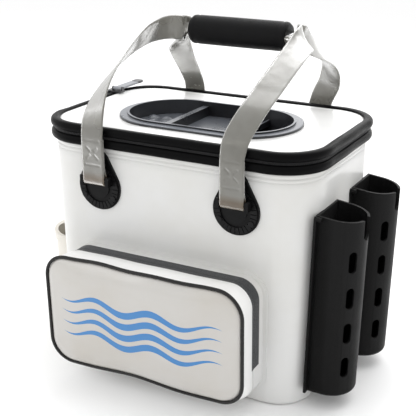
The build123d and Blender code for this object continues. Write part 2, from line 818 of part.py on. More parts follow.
# Front pocket, drawn on the front wall's frame: local Y up the wall, local Z outward
pocket_middle = (0, pocket_bottom + pocket_height / 2)
front_middle = (0, front_bottom + front_height / 2)
shell_start = pocket_base_depth + pocket_seam / 2
shell_end = pocket_depth - panel_thickness


def pocket_loft(grow):
    """The pocket's flaring outer form from the zip line to the panel, grown outward."""
    with BuildPart(mode=Mode.PRIVATE) as form:
        with BuildSketch(front_wall.offset(shell_start)):
            with Locations(pocket_middle):
                RectangleRounded(pocket_width + 2 * grow, pocket_height + 2 * grow, pocket_corner + grow)
        with BuildSketch(front_wall.offset(shell_end)):
            with Locations(front_middle):
                RectangleRounded(front_width + 2 * grow, front_height + 2 * grow, front_corner + grow)
        loft()
    return form.part


def keep_above_tape_end(depth_start, depth):
    """The space beside and over the pocket where its zip runs."""
    with BuildPart(mode=Mode.PRIVATE) as space:
        with BuildSketch(front_wall.offset(depth_start)):
            with Locations((0, pocket_tape_end)):
                Rectangle(body_width, wall_top, align=(Align.CENTER, Align.MIN))
        extrude(amount=depth)
    return space.part


# The moulded base on the wall: a welded border, a thin back and an upstand
with BuildPart() as pocket_base:
    with BuildSketch(front_wall):
        with Locations(pocket_middle):
            RectangleRounded(
                pocket_width + 2 * pocket_flange,
                pocket_height + 2 * pocket_flange,
                pocket_corner + pocket_flange,
            )
    extrude(amount=pocket_flange_thickness)
    with BuildSketch(front_wall.offset(pocket_flange_thickness)):
        with Locations(pocket_middle):
            RectangleRounded(pocket_width, pocket_height, pocket_corner)
            RectangleRounded(
                pocket_width - 2 * pocket_wall,
                pocket_height - 2 * pocket_wall,
                pocket_corner - pocket_wall,
                mode=Mode.SUBTRACT,
            )
    extrude(amount=pocket_base_depth - pocket_seam / 2 - pocket_flange_thickness)
save(pocket_base.part, "pocket_base")

# The white gusset, which folds down with the panel about the pocket's bottom edge
with BuildPart() as pocket_gusset:
    add(pocket_loft(0))
    add(pocket_loft(-pocket_wall), mode=Mode.SUBTRACT)
save(pocket_gusset.part, "pocket_gusset")

with BuildPart() as pocket_panel:
    with BuildSketch(front_wall.offset(shell_end)):
        with Locations(front_middle):
            RectangleRounded(front_width, front_height, front_corner)
    extrude(amount=panel_thickness)
    outermost = pocket_panel.faces().sort_by(Axis(front_wall.origin, front_wall.z_dir))[-1]
    fillet(outermost.edges(), panel_roundness)
save(pocket_panel.part, "pocket_panel")

with BuildPart() as pocket_piping:
    with BuildSketch(front_wall.offset(shell_end)):
        with Locations(front_middle):
            RectangleRounded(
                front_width + 2 * piping_width,
                front_height + 2 * piping_width,
                front_corner + piping_width,
            )
            RectangleRounded(front_width, front_height, front_corner, mode=Mode.SUBTRACT)
    extrude(amount=piping_height)
    fillet(pocket_piping.faces().sort_by(SortBy.AREA)[-1].edges(), piping_roundness)
save(pocket_piping.part, "pocket_piping")

# The pocket's two zip tapes, over its top and part of the way down both sides
with BuildPart() as pocket_base_tape:
    with BuildSketch(front_wall.offset(pocket_base_depth - pocket_tape_width)):
        with Locations(pocket_middle):
            RectangleRounded(
                pocket_width + 2 * pocket_tape_thickness,
                pocket_height + 2 * pocket_tape_thickness,
                pocket_corner + pocket_tape_thickness,
            )
            RectangleRounded(pocket_width, pocket_height, pocket_corner, mode=Mode.SUBTRACT)
    extrude(amount=pocket_tape_width - pocket_seam / 2)
    add(keep_above_tape_end(0, pocket_depth), mode=Mode.INTERSECT)
save(pocket_base_tape.part, "pocket_base_tape")

with BuildPart() as pocket_gusset_tape:
    add(pocket_loft(pocket_tape_thickness))
    add(pocket_loft(0), mode=Mode.SUBTRACT)
    add(keep_above_tape_end(shell_start, pocket_tape_width), mode=Mode.INTERSECT)
save(pocket_gusset_tape.part, "pocket_gusset_tape")

# The pocket's slider on its left side, and the pull that hangs from it
side_skin = pocket_width / 2 + pocket_tape_thickness
slider_face = side_skin + pocket_slider_gap + pocket_slider_depth
pull_axis = slider_face + pocket_pull_pin + pocket_pull_gap
pocket_side = Plane(
    origin=front_wall.from_local_coords((0, pocket_slider_z, pocket_base_depth)),
    x_dir=front_wall.z_dir,
    z_dir=(-1, 0, 0),
)
with BuildPart() as pocket_slider:
    with BuildSketch(pocket_side.offset(side_skin + pocket_slider_gap)):
        RectangleRounded(pocket_slider_width, pocket_slider_size, slider_edge)
    extrude(amount=pocket_slider_depth)
    ear_offset = pocket_pull_width / 2 + ear_gap + ear_width / 2
    with BuildSketch(pocket_side.offset(slider_face)):
        with Locations((-ear_offset, 0), (ear_offset, 0)):
            Rectangle(ear_width, 2 * (pocket_pull_pin + pull_eye_wall))
    extrude(amount=2 * pocket_pull_pin + 2 * pocket_pull_gap)
    pin_start = pocket_side.from_local_coords((-ear_offset, 0, pull_axis))
    with BuildSketch(Plane(origin=pin_start, z_dir=pocket_side.x_dir)):
        Circle(pocket_pull_pin)
    extrude(amount=2 * ear_offset)
save(pocket_slider.part, "pocket_slider")

pull_start = pocket_side.from_local_coords((-pocket_pull_width / 2, 0, pull_axis))
pull_plane = Plane(origin=pull_start, x_dir=-pocket_side.z_dir, z_dir=pocket_side.x_dir)
with BuildPart() as pocket_pull:
    with BuildSketch(pull_plane):
        Circle(pocket_pull_pin + pull_eye_wall)
        Rectangle(pocket_pull_thickness, pocket_pull_length, align=(Align.CENTER, Align.MAX))
        Circle(pocket_pull_pin + pin_clearance, mode=Mode.SUBTRACT)
    extrude(amount=pocket_pull_width)
save(pocket_pull.part, "pocket_pull")


def side_outline(width, depth, start):
    """A flat-backed outline with a half-round nose, drawn outward from a start depth."""
    with Locations((0, start)):
        Rectangle(width, depth - width / 2 - start, align=(Align.CENTER, Align.MIN))
    with Locations((0, depth - width / 2)):
        Circle(width / 2)
    with Locations((0, start)):
        Rectangle(2 * width, depth, align=(Align.CENTER, Align.MIN), mode=Mode.INTERSECT)


def facing_out(frame, height):
    """A plane that faces outward from a side wall, with its origin on the wall."""
    origin = frame.from_local_coords((0, 0, height))
    return Plane(origin=origin, x_dir=-frame.x_dir, z_dir=frame.y_dir)


# Rod holders: a black tube with a flat back, a notched nose, plain slots and a flange
nose_radius = holder_width / 2
for label, y in zip(("rod_holder_front", "rod_holder_rear"), holder_ys):
    frame = holder_frame(y, 1)
    with BuildPart() as holder:
        with BuildSketch(frame.offset(holder_bottom)):
            side_outline(holder_width, holder_depth, 0)
        extrude(amount=holder_top - holder_bottom)
        fillet(holder.faces().sort_by(Axis.Z)[0].edges().sort_by(Axis.X)[-1], holder_foot_radius)
        with BuildSketch(frame.offset(holder_bottom + holder_floor)):
            side_outline(holder_width - 2 * holder_wall, holder_depth - holder_wall, holder_wall)
        extrude(amount=holder_top, mode=Mode.SUBTRACT)
        # Flanges along both back corners, and a small hook at the top of the front one
        with BuildSketch(frame.offset(holder_bottom + flange_start)):
            with Locations((nose_radius, 0)):
                Rectangle(flange_width, holder_wall, align=(Align.MIN, Align.MIN))
            with Locations((-nose_radius, 0)):
                Rectangle(flange_width, holder_wall, align=(Align.MAX, Align.MIN))
        extrude(amount=holder_top - holder_bottom - 2 * flange_start)
        hook_spot = (nose_radius + flange_width - hook_radius, 0, holder_top - flange_start)
        with BuildSketch(Plane(origin=frame.from_local_coords(hook_spot), z_dir=frame.y_dir)):
            Circle(hook_radius)
        extrude(amount=hook_length)
        profile = Plane(
            origin=frame.from_local_coords((-holder_width, 0, 0)), x_dir=frame.y_dir, z_dir=frame.x_dir
        )
        # The rim slopes down from the wall to the nose
        with BuildSketch(profile):
            with BuildLine():
                Polyline(
                    (0, holder_top),
                    (holder_depth, holder_top - holder_top_drop),
                    (holder_depth, holder_top),
                    close=True,
                )
            make_face()
        extrude(amount=2 * holder_width, mode=Mode.SUBTRACT)
        with BuildSketch(facing_out(frame, 0).offset(holder_depth - nose_radius)):
            with Locations((0, holder_top)):
                SlotOverall(2 * notch_depth, notch_width, rotation=90)
        extrude(amount=nose_radius, mode=Mode.SUBTRACT)
        for angle in (-slot_angle, slot_angle):
            turned = Location((0, holder_depth - nose_radius, 0), (0, 0, angle))
            with BuildSketch(facing_out(Plane(frame.location * turned), 0)):
                with Locations([(0, slot_bottom + i * slot_pitch) for i in range(slot_count)]):
                    SlotOverall(slot_height, slot_width, rotation=90)
            extrude(amount=nose_radius, mode=Mode.SUBTRACT)
        for height in holder_rivet_heights:
            with BuildSketch(facing_out(frame, height)):
                Circle(rivet_radius + rivet_clearance)
            extrude(amount=holder_wall, mode=Mode.SUBTRACT)
    save(holder.part, label)

# Bottle holder on the left wall: a back plate, a sleeve with a window, a cup and its rim
side_frame = holder_frame(0, -1)
side_out = facing_out(side_frame, 0)
side_back_middle = (0, (side_back_bottom + side_back_top) / 2)
with BuildPart() as side_back:
    with BuildSketch(side_out):
        with Locations(side_back_middle):
            RectangleRounded(side_back_width, side_back_top - side_back_bottom, side_back_corner)
        with Locations([(0, height) for height in holder_rivet_heights]):
            Circle(rivet_radius + rivet_clearance, mode=Mode.SUBTRACT)
    extrude(amount=side_back_thickness)
save(side_back.part, "side_back")

with BuildPart() as side_sleeve:
    with BuildSketch(side_frame.offset(sleeve_bottom)):
        side_outline(sleeve_width, sleeve_depth, side_back_thickness)
    extrude(amount=sleeve_top - sleeve_bottom)
    with BuildSketch(side_frame.offset(sleeve_bottom)):
        side_outline(sleeve_width - 2 * side_wall, sleeve_depth - side_wall, -side_wall)
    extrude(amount=sleeve_top, mode=Mode.SUBTRACT)
    with BuildSketch(side_out):
        with Locations((0, window_centre)):
            Ellipse(window_width / 2, window_height / 2)
    extrude(amount=cup_depth, mode=Mode.SUBTRACT)
save(side_sleeve.part, "side_sleeve")

with BuildPart() as side_cup:
    with BuildSketch(side_frame.offset(cup_bottom)):
        side_outline(cup_width, cup_depth, side_back_thickness)
    extrude(amount=cup_top - cup_bottom)
    fillet(side_cup.faces().sort_by(Axis.Z)[0].edges().sort_by(Axis.X)[0], holder_foot_radius)
    with BuildSketch(side_frame.offset(cup_bottom + side_wall)):
        side_outline(cup_width - 2 * side_wall, cup_depth - side_wall, -side_wall)
    extrude(amount=cup_top, mode=Mode.SUBTRACT)
    with BuildSketch(side_frame.offset(cup_bottom)):
        with Locations((0, cup_depth / 2)):
            Circle(drain_radius)
    extrude(amount=side_wall, mode=Mode.SUBTRACT)
save(side_cup.part, "side_cup")

with BuildPart() as side_rim:
    with BuildSketch(side_frame.offset(cup_top - rim_height)):
        side_outline(cup_width + 2 * rim_overhang, cup_depth + rim_overhang, side_back_thickness)
        with BuildSketch(mode=Mode.SUBTRACT):
            side_outline(cup_width, cup_depth, 0)
    extrude(amount=rim_height)
save(side_rim.part, "side_rim")

# Rivets that hold the rod holders and the bottle holder to the side walls
with BuildPart() as holder_rivets:
    for y, side in ((holder_ys[0], 1), (holder_ys[1], 1), (0, -1)):
        frame = holder_frame(y, side)
        for height in holder_rivet_heights:
            spot = facing_out(frame, height)
            with BuildSketch(spot.offset(-wall_normal)):
                Circle(rivet_radius)
            extrude(amount=wall_normal + holder_wall)
            for depth, direction in ((holder_wall, 1), (-wall_normal, -1)):
                with BuildSketch(spot.offset(depth)):
                    Circle(rivet_head_radius)
                extrude(amount=direction * rivet_head_height)
save(holder_rivets.part, "holder_rivets")
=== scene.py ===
import math

import bpy
import numpy as np
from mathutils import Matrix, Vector


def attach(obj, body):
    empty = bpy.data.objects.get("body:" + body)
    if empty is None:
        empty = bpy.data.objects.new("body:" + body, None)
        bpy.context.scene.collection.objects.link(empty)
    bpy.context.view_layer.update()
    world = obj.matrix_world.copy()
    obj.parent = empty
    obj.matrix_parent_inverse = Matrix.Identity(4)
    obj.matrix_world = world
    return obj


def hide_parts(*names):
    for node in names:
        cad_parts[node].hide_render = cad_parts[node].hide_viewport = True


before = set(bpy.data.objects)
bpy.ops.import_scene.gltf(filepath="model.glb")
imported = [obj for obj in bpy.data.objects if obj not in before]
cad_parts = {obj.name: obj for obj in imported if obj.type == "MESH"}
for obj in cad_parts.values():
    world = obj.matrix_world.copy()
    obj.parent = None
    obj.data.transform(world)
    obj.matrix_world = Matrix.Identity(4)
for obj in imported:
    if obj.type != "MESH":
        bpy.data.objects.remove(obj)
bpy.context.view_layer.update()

# The picture is taken from the front right and a little above, in a white studio.
# The floor is pale board, and a large soft light hangs over and behind the bag.
azimuth, elevation, distance = math.radians(28.06), math.radians(21.49), 1.1999
aim = Vector((0, 0, 0.1575))
camera_back = Vector((
    math.sin(azimuth) * math.cos(elevation),
    -math.cos(azimuth) * math.cos(elevation),
    math.sin(elevation),
))
camera = bpy.data.objects.new("camera", bpy.data.cameras.new("camera"))
bpy.context.scene.collection.objects.link(camera)
camera.location = aim + camera_back * distance
camera.rotation_mode = "QUATERNION"
camera.rotation_quaternion = (-camera_back).to_track_quat("-Z", "Y")
camera.data.lens = 80.86
camera.data.shift_x = -0.0078
camera.data.shift_y = 0.0646
bpy.context.scene.camera = camera
bpy.context.scene.view_settings.view_transform = "Standard"


def surface(name, colour, roughness, **sockets):
    """A new material, with its node tree and its shader's plain values."""
    made = bpy.data.materials.new(name)
    made.use_nodes = True
    shader = made.node_tree.nodes["Principled BSDF"]
    shader.inputs["Base Color"].default_value = (*colour, 1)
    shader.inputs["Roughness"].default_value = roughness
    for key, value in sockets.items():
        shader.inputs[key.replace("_", " ")].default_value = value
    return made, made.node_tree, shader


world = bpy.data.worlds.new("studio")
bpy.context.scene.world = world
world.use_nodes = True
sky = world.node_tree.nodes["Background"].inputs
sky["Color"].default_value = (1, 1, 1, 1)
sky["Strength"].default_value = 1.0

# Each lamp's name, place, aim, width in metres and power in watts
for name, place, target, size, power in (
    ("overhead", (0.1, 0.5, 1.5), (0, 0, 0.2), 1.6, 14),
    ("left_front", (-1.5, -1.3, 1.1), (0, 0, 0.2), 1.2, 5),
    ("behind", (-0.3, 2.4, 0.75), (0, 0, 0.3), 2.4, 16),
):
    light = bpy.data.lights.new(name, "AREA")
    light.size = size
    light.energy = power
    lamp = bpy.data.objects.new(name, light)
    bpy.context.scene.collection.objects.link(lamp)
    lamp.location = place
    lamp.rotation_mode = "QUATERNION"
    lamp.rotation_quaternion = (Vector(target) - Vector(place)).to_track_quat("-Z", "Y")
    lamp.visible_camera = False

floor_paint, _, _ = surface("pale_floor", (0.98, 0.98, 0.98), 0.8)
floor_reach = 6
floor_corners = [(x * floor_reach, y * floor_reach, 0) for x, y in ((-1, -1), (1, -1), (1, 1), (-1, 1))]
floor_mesh = bpy.data.meshes.new("floor")
floor_mesh.from_pydata(floor_corners, [], [(0, 1, 2, 3)])
floor = bpy.data.objects.new("floor", floor_mesh)
floor.data.materials.append(floor_paint)
bpy.context.scene.collection.objects.link(floor)


# The bag's body is a white glossy sheet, welded into a tapered box on a moulded tray.
# A double weld line runs round it under the zip band, and its walls bow and ripple a little.
def group(name, inputs, outputs):
    """An empty shader group with named inputs and outputs, and its two end nodes."""
    made = bpy.data.node_groups.new(name, "ShaderNodeTree")
    for label, kind, value in inputs:
        made.interface.new_socket(label, in_out="INPUT", socket_type=kind).default_value = value
    for label, kind in outputs:
        made.interface.new_socket(label, in_out="OUTPUT", socket_type=kind)
    return made, made.nodes.new("NodeGroupInput").outputs, made.nodes.new("NodeGroupOutput").inputs


def put(tree, kind, sockets=None, **settings):
    """Adds a node, makes its settings, and fills its sockets with values or links."""
    made = tree.nodes.new("ShaderNode" + kind)
    for key, value in settings.items():
        setattr(made, key, value)
    for key, value in (sockets or {}).items():
        if isinstance(value, bpy.types.NodeSocket):
            tree.links.new(value, made.inputs[key])
        else:
            made.inputs[key].default_value = value
    return made


# Ripples and fine grain of a plastic sheet, and soft cloudy marks on it
sheet_group, given, gives = group(
    "sheet_relief",
    [("Ripple", "NodeSocketFloat", 14.0), ("Grain", "NodeSocketFloat", 900.0),
     ("Depth", "NodeSocketFloat", 0.4)],
    [("Normal", "NodeSocketVector"), ("Cloud", "NodeSocketFloat")],
)
place = put(sheet_group, "TexCoord").outputs["Object"]
ripple = put(sheet_group, "TexNoise", {"Vector": place, "Scale": given["Ripple"], "Detail": 2.0})
grain = put(sheet_group, "TexNoise", {"Vector": place, "Scale": given["Grain"], "Detail": 1.0})
broad = put(sheet_group, "Bump",
            {"Strength": given["Depth"], "Distance": 0.012, "Height": ripple.outputs["Fac"]})
fine = put(sheet_group, "Bump", {"Strength": 0.05, "Distance": 0.001, "Height": grain.outputs["Fac"],
                                 "Normal": broad.outputs["Normal"]})
cloud = put(sheet_group, "TexNoise", {"Vector": place, "Scale": 9.0, "Detail": 4.0, "Roughness": 0.6})
sheet_group.links.new(fine.outputs["Normal"], gives["Normal"])
sheet_group.links.new(cloud.outputs["Fac"], gives["Cloud"])


def sheet_finish(name, colour, tint, roughness, depth, ripple_scale=14.0, **sockets):
    """A glossy sheet: its colour drifts to a tint, and its gloss varies with the clouds."""
    made, tree, shader = surface(name, colour, roughness, **sockets)
    relief = put(tree, "Group", node_tree=sheet_group)
    relief.inputs["Ripple"].default_value = ripple_scale
    relief.inputs["Depth"].default_value = depth
    shade = put(tree, "ValToRGB", {"Fac": relief.outputs["Cloud"]})
    shade.color_ramp.elements[0].position = 0.35
    shade.color_ramp.elements[0].color = (*tint, 1)
    shade.color_ramp.elements[1].position = 0.6
    shade.color_ramp.elements[1].color = (*colour, 1)
    gloss = put(tree, "MapRange",
                {"Value": relief.outputs["Cloud"], "To Min": roughness * 1.25, "To Max": roughness * 0.8})
    tree.links.new(shade.outputs["Color"], shader.inputs["Base Color"])
    tree.links.new(gloss.outputs["Result"], shader.inputs["Roughness"])
    tree.links.new(relief.outputs["Normal"], shader.inputs["Normal"])
    return made


# The walls' white is painted darker than the lid's, though both are one sheet: painted shade on the walls
white_sheet = sheet_finish("white_sheet", (0.70, 0.70, 0.69), (0.665, 0.66, 0.635), 0.3, 0.14,
                           Coat_Weight=0.25, Coat_Roughness=0.12)


def piece(name, points, faces, material, body):
    """A smooth mesh in metres that rides on a body and takes the given finish."""
    mesh = bpy.data.meshes.new(name)
    mesh.from_pydata([tuple(p) for p in np.asarray(points, float)], [], faces)
    mesh.update()
    made = bpy.data.objects.new(name, mesh)
    bpy.context.scene.collection.objects.link(made)
    made.data.materials.append(material)
    for polygon in mesh.polygons:
        polygon.use_smooth = True
    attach(made, body)
    return made


def dress(material, *nodes):
    """Gives CAD nodes that stay in view their finish."""
    for name in nodes:
        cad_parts[name].data.materials.clear()
        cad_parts[name].data.materials.append(material)


def outline(half_width, half_depth, radius, straight=22, corner=12):
    """A rounded rectangle from the middle of its front, with the outward direction at each point."""
    points, normals = [], []
    quarter = ((1, -1), (1, 1), (-1, 1), (-1, -1))
    for i, (sx, sy) in enumerate(quarter):
        centre = np.array((sx * (half_width - radius), sy * (half_depth - radius)))
        for k in range(corner + 1):
            angle = math.radians(-90 + 90 * i + 90 * k / corner)
            direction = np.array((math.cos(angle), math.sin(angle)))
            points.append(centre + radius * direction)
            normals.append(direction)
        nx, ny = quarter[(i + 1) % 4]
        ahead = np.array((nx * (half_width - radius), ny * (half_depth - radius))) + radius * direction
        for k in range(1, straight):
            points.append(points[-k] + (ahead - points[-k]) * k / straight)
            normals.append(direction)
    return np.array(points), np.array(normals)


def loft(rings, cap_first=False, cap_last=False, closed_loft=False):
    """Joins rings of equal length into faces, with optional end caps."""
    count, size = len(rings), len(rings[0])
    faces = []
    for i in range(count if closed_loft else count - 1):
        for k in range(size):
            a, b = i * size, (i + 1) % count * size
            m = (k + 1) % size
            faces.append((a + k, a + m, b + m, b + k))
    if cap_first:
        faces.append(tuple(range(size))[::-1])
    if cap_last:
        faces.append(tuple(range((count - 1) * size, count * size)))
    return np.concatenate(rings), faces


floor_half = np.array((0.170, 0.105))
floor_corner, body_lean, body_top, sheet_thickness = 0.044, 0.006 / 0.291, 0.291, 0.0039
tray_top, foot_radius, foot_steps, floor_gap = 0.014, 0.007, 6, 0.0002
wall_bow, wall_ripple = 0.0014, 0.00018
weld_heights, weld_groove, weld_half = (0.2795, 0.2845), 0.0014, 0.0007


def body_ring(height, inset, shaped):
    """The walls' outline at a height. A shaped one also bows, ripples and dips at the welds."""
    grow = body_lean * height - inset
    points, normals = outline(floor_half[0] + grow, floor_half[1] + grow, floor_corner + grow)
    if shaped:
        rise = math.sin(math.pi * min(max((height - tray_top) / (body_top - tray_top), 0), 1))
        along = np.cos(np.pi / 2 * np.clip(points / (floor_half + grow), -1, 1))
        side = np.abs(normals[:, 0]) > 0.9
        middle = np.where(side, along[:, 1], along[:, 0]) * (np.abs(normals).max(1) > 0.95)
        turn = np.arctan2(points[:, 1], points[:, 0])
        swell = wall_bow * rise * middle
        swell += wall_ripple * rise * np.sin(5 * turn + 31 * height) * np.sin(70 * height + 2 * turn)
        for weld in weld_heights:
            swell -= weld_groove * math.exp(-(((height - weld) / weld_half) ** 2))
        points = points + normals * swell[:, None]
    return np.column_stack((points, np.full(len(points), height)))


rings = []
for step in range(foot_steps + 1):
    angle = math.radians(90 * step / foot_steps)
    height = floor_gap + foot_radius * (1 - math.cos(angle))
    rings.append(body_ring(height, foot_radius * (1 - math.sin(angle)), False))
heights = list(np.linspace(0.012, 0.272, 27))
for weld in weld_heights:
    heights += [weld + offset for offset in (-0.0016, -weld_half, 0, weld_half, 0.0016)]
heights += [0.2885, body_top]
rings += [body_ring(height, 0, True) for height in heights]
rings += [body_ring(height, sheet_thickness, False) for height in (body_top, 0.2, 0.1, 0.005)]
points, faces = loft(rings, cap_first=True, cap_last=True)
body_shell = piece("body_shell", points, faces, white_sheet, "bag")
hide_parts("body_walls", "base_tray")

board_paint, tree, shader = surface("floor_board", (0.2, 0.2, 0.21), 0.6)
grain = put(tree, "TexNoise", {"Scale": 600.0, "Detail": 3.0})
grain_bump = put(tree, "Bump", {"Strength": 0.25, "Distance": 0.001, "Height": grain.outputs["Fac"]})
tree.links.new(grain_bump.outputs["Normal"], shader.inputs["Normal"])
dress(board_paint, "floor_board")


# Two soft black rolls bind the top of the walls and the lid's edge, leathery and satin.
# Each is a strip of coated cloth folded over the sheet's edge and sewn down.
def sums(tree, operation, *values):
    """A Math node's answer; each value is a socket or a number."""
    return put(tree, "Math", dict(enumerate(values)), operation=operation).outputs[0]


def mixed(tree, factor, under, over):
    """The under colour turned into the over colour by the factor; each is a socket or plain."""
    sockets = {"Factor": factor}
    for key, colour in ((6, under), (7, over)):
        sockets[key] = colour if isinstance(colour, bpy.types.NodeSocket) else (*colour, 1)
    return put(tree, "Mix", sockets, data_type="RGBA").outputs[2]


wear_group, given, gives = group(
    "scuffed_black",
    [("Dark", "NodeSocketColor", (0.012, 0.012, 0.014, 1)),
     ("Worn", "NodeSocketColor", (0.06, 0.06, 0.065, 1)), ("Grain", "NodeSocketFloat", 700.0),
     ("Depth", "NodeSocketFloat", 0.3), ("Roughness", "NodeSocketFloat", 0.5)],
    [("Color", "NodeSocketColor"), ("Roughness", "NodeSocketFloat"), ("Normal", "NodeSocketVector")],
)
place = put(wear_group, "TexCoord").outputs["Object"]
pebble = put(wear_group, "TexVoronoi", {"Vector": place, "Scale": given["Grain"]})
smear = put(wear_group, "TexNoise", {"Vector": place, "Scale": 22.0, "Detail": 6.0, "Roughness": 0.65})
edge = put(wear_group, "NewGeometry").outputs["Pointiness"]
worn_edge = put(wear_group, "MapRange",
                {"Value": edge, "From Min": 0.515, "From Max": 0.6, "To Max": 0.7})
patch = put(wear_group, "MapRange",
            {"Value": smear.outputs["Fac"], "From Min": 0.45, "From Max": 0.8, "To Max": 0.35})
worn = sums(wear_group, "MAXIMUM", worn_edge.outputs["Result"], patch.outputs["Result"])
dull = sums(wear_group, "MULTIPLY_ADD", smear.outputs["Fac"], 0.3, given["Roughness"])
level = sums(wear_group, "SUBTRACT", dull, 0.15)
pebble_bump = put(wear_group, "Bump",
                  {"Strength": given["Depth"], "Distance": 0.0006, "Height": pebble.outputs["Distance"]})
wear_group.links.new(mixed(wear_group, worn, given["Dark"], given["Worn"]), gives["Color"])
wear_group.links.new(level, gives["Roughness"])
wear_group.links.new(pebble_bump.outputs["Normal"], gives["Normal"])


def black_finish(name, dark, worn_tone, grain_scale, depth, roughness, **sockets):
    """A black surface, pebbled and duller in patches, that wears paler along its edges."""
    made, tree, shader = surface(name, dark, roughness, **sockets)
    scuffed = put(tree, "Group", node_tree=wear_group)
    for label, value in (("Dark", (*dark, 1)), ("Worn", (*worn_tone, 1)), ("Grain", grain_scale),
                         ("Depth", depth), ("Roughness", roughness)):
        scuffed.inputs[label].default_value = value
    tree.links.new(scuffed.outputs["Color"], shader.inputs["Base Color"])
    tree.links.new(scuffed.outputs["Roughness"], shader.inputs["Roughness"])
    tree.links.new(scuffed.outputs["Normal"], shader.inputs["Normal"])
    return made


binding_cloth = black_finish("binding_cloth", (0.002, 0.002, 0.0022), (0.006, 0.006, 0.0063),
                             1400.0, 0.25, 0.34, Specular_IOR_Level=0.05)
band_half, band_corner = np.array((0.180, 0.115)), 0.054
roll_height, roll_fullness, roll_squareness = 0.011, 0.0026, 2.3
roll_wander, wander_length = 0.00025, 0.071


def ripple_along(x, length, shift=0.0):
    """A ripple between -1 and 1 that repeats every length."""
    return np.sin(x * 2 * math.pi / length + shift)


def roll(name, middle, thickness, body, node):
    """A roll of binding round the band: a rounded section carried round the outline."""
    points, normals = outline(*band_half, band_corner)
    turn = np.cumsum(np.linalg.norm(np.roll(points, -1, 0) - points, axis=1))
    wander = roll_wander * ripple_along(turn, wander_length, 3 * middle * 1000)
    # The rolls stay slim on the left, where the zip's slider runs
    past_front = np.clip((points[:, 1] + 0.07) / 0.02, 0, 1)
    at_left = np.clip(-(points[:, 0] + 0.16) / 0.012, 0, 1)
    fuller = roll_fullness * (1 - past_front * at_left)
    rings = []
    for angle in np.radians(np.arange(16) * 22.5):
        c, s = math.cos(angle), math.sin(angle)
        out = math.copysign(abs(c) ** (2 / roll_squareness), c) * thickness / 2 - thickness / 2
        up = math.copysign(abs(s) ** (2 / roll_squareness), s) * roll_height / 2
        ring = points + normals * (out + wander + fuller * (out > -thickness / 2))[:, None]
        rings.append(np.column_stack((ring, np.full(len(ring), middle + up))))
    points, faces = loft(rings, closed_loft=True)
    made = piece(name, points, faces, binding_cloth, body)
    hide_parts(node)


roll("lower_roll", 0.296, 0.0085, "bag", "body_binding")
roll("upper_roll", 0.310, 0.0095, "lid", "lid_binding")
dress(binding_cloth, "hinge_leaf_body", "hinge_leaf_lid")


# The zip between the rolls: woven tape, and two rows of small moulded teeth that mesh
# round the front and both sides. Each row stays on its own half when the lid opens.
weave_group, given, gives = group(
    "woven_tape",
    [("Pitch", "NodeSocketFloat", 900.0), ("Depth", "NodeSocketFloat", 0.5)],
    [("Shade", "NodeSocketFloat"), ("Normal", "NodeSocketVector")],
)
place = put(weave_group, "TexCoord").outputs["Object"]
warp = put(weave_group, "TexWave", {"Vector": place, "Scale": given["Pitch"]}, bands_direction="DIAGONAL")
weft = put(weave_group, "TexWave", {"Vector": place, "Scale": given["Pitch"]}, bands_direction="Z")
threads = sums(weave_group, "MULTIPLY", warp.outputs["Fac"], weft.outputs["Fac"])
thread_bump = put(weave_group, "Bump", {"Strength": given["Depth"], "Distance": 0.0005, "Height": threads})
weave_group.links.new(threads, gives["Shade"])
weave_group.links.new(thread_bump.outputs["Normal"], gives["Normal"])


def tape_finish(name, dark, light, roughness, **sockets):
    """A woven tape whose threads run from dark to light."""
    made, tree, shader = surface(name, dark, roughness, **sockets)
    woven = put(tree, "Group", node_tree=weave_group)
    tree.links.new(mixed(tree, woven.outputs["Shade"], dark, light), shader.inputs["Base Color"])
    tree.links.new(woven.outputs["Normal"], shader.inputs["Normal"])
    return made


black_tape = tape_finish("black_tape", (0.008, 0.008, 0.009), (0.02, 0.02, 0.022), 0.7,
                         Specular_IOR_Level=0.2)
dress(black_tape, "body_zip_tape", "lid_zip_tape")
tooth_plastic = black_finish("tooth_plastic", (0.012, 0.012, 0.013), (0.05, 0.05, 0.053), 900.0, 0.1, 0.35)


def blocks(frames, size):
    """Small chamfered blocks, one at each (centre, x, y, z) frame, as points and faces."""
    corner = np.array([(x, y, z) for z, k in ((-1, 0.7), (-0.6, 1), (0.6, 1), (1, 0.7))
                       for x, y in ((-k, -k), (k, -k), (k, k), (-k, k))]) * np.array(size) / 2
    points, faces = [], []
    for number, (centre, x, y, z) in enumerate(frames):
        start = number * len(corner)
        points.append(np.asarray(centre) + corner @ np.array((x, y, z)))
        for i in range(3):
            for k in range(4):
                a, m = start + 4 * i, (k + 1) % 4
                faces.append((a + k, a + m, a + 4 + m, a + 4 + k))
        faces.append((start + 3, start + 2, start + 1, start))
        faces.append(tuple(start + 12 + k for k in range(4)))
    return np.concatenate(points), faces


def resample(points, pitch, shift):
    """Points and directions at an even pitch round a closed line."""
    path = np.vstack((points, points[:1]))
    steps = np.linalg.norm(np.diff(path, axis=0), axis=1)
    length = np.concatenate(((0,), np.cumsum(steps)))
    at = np.arange(shift, length[-1], pitch)
    spots = np.column_stack([np.interp(at, length, path[:, i]) for i in range(path.shape[1])])
    which = np.clip(np.searchsorted(length, at, side="right") - 1, 0, len(steps) - 1)
    return spots, (np.diff(path, axis=0) / np.maximum(steps, 1e-9)[:, None])[which]


tooth_size, tooth_pitch, tooth_inset = (0.0013, 0.0024, 0.0018), 0.0022, 0.0022
hinge_front, hinge_half = 0.10, 0.120
zip_path, _ = outline(band_half[0] - tooth_inset, band_half[1] - tooth_inset, band_corner - tooth_inset)
for name, height, shift, body in (("lower_teeth", 0.3022, 0.0, "bag"),
                                  ("upper_teeth", 0.3038, tooth_pitch / 2, "lid")):
    spots, along = resample(zip_path, tooth_pitch, shift)
    teeth = [((x, y, height), (tx, ty, 0), (ty, -tx, 0), (0, 0, 1))
             for (x, y), (tx, ty) in zip(spots, along) if y < hinge_front or abs(x) > hinge_half]
    points, faces = blocks(teeth, tooth_size)
    piece(name, points, faces, tooth_plastic, body)


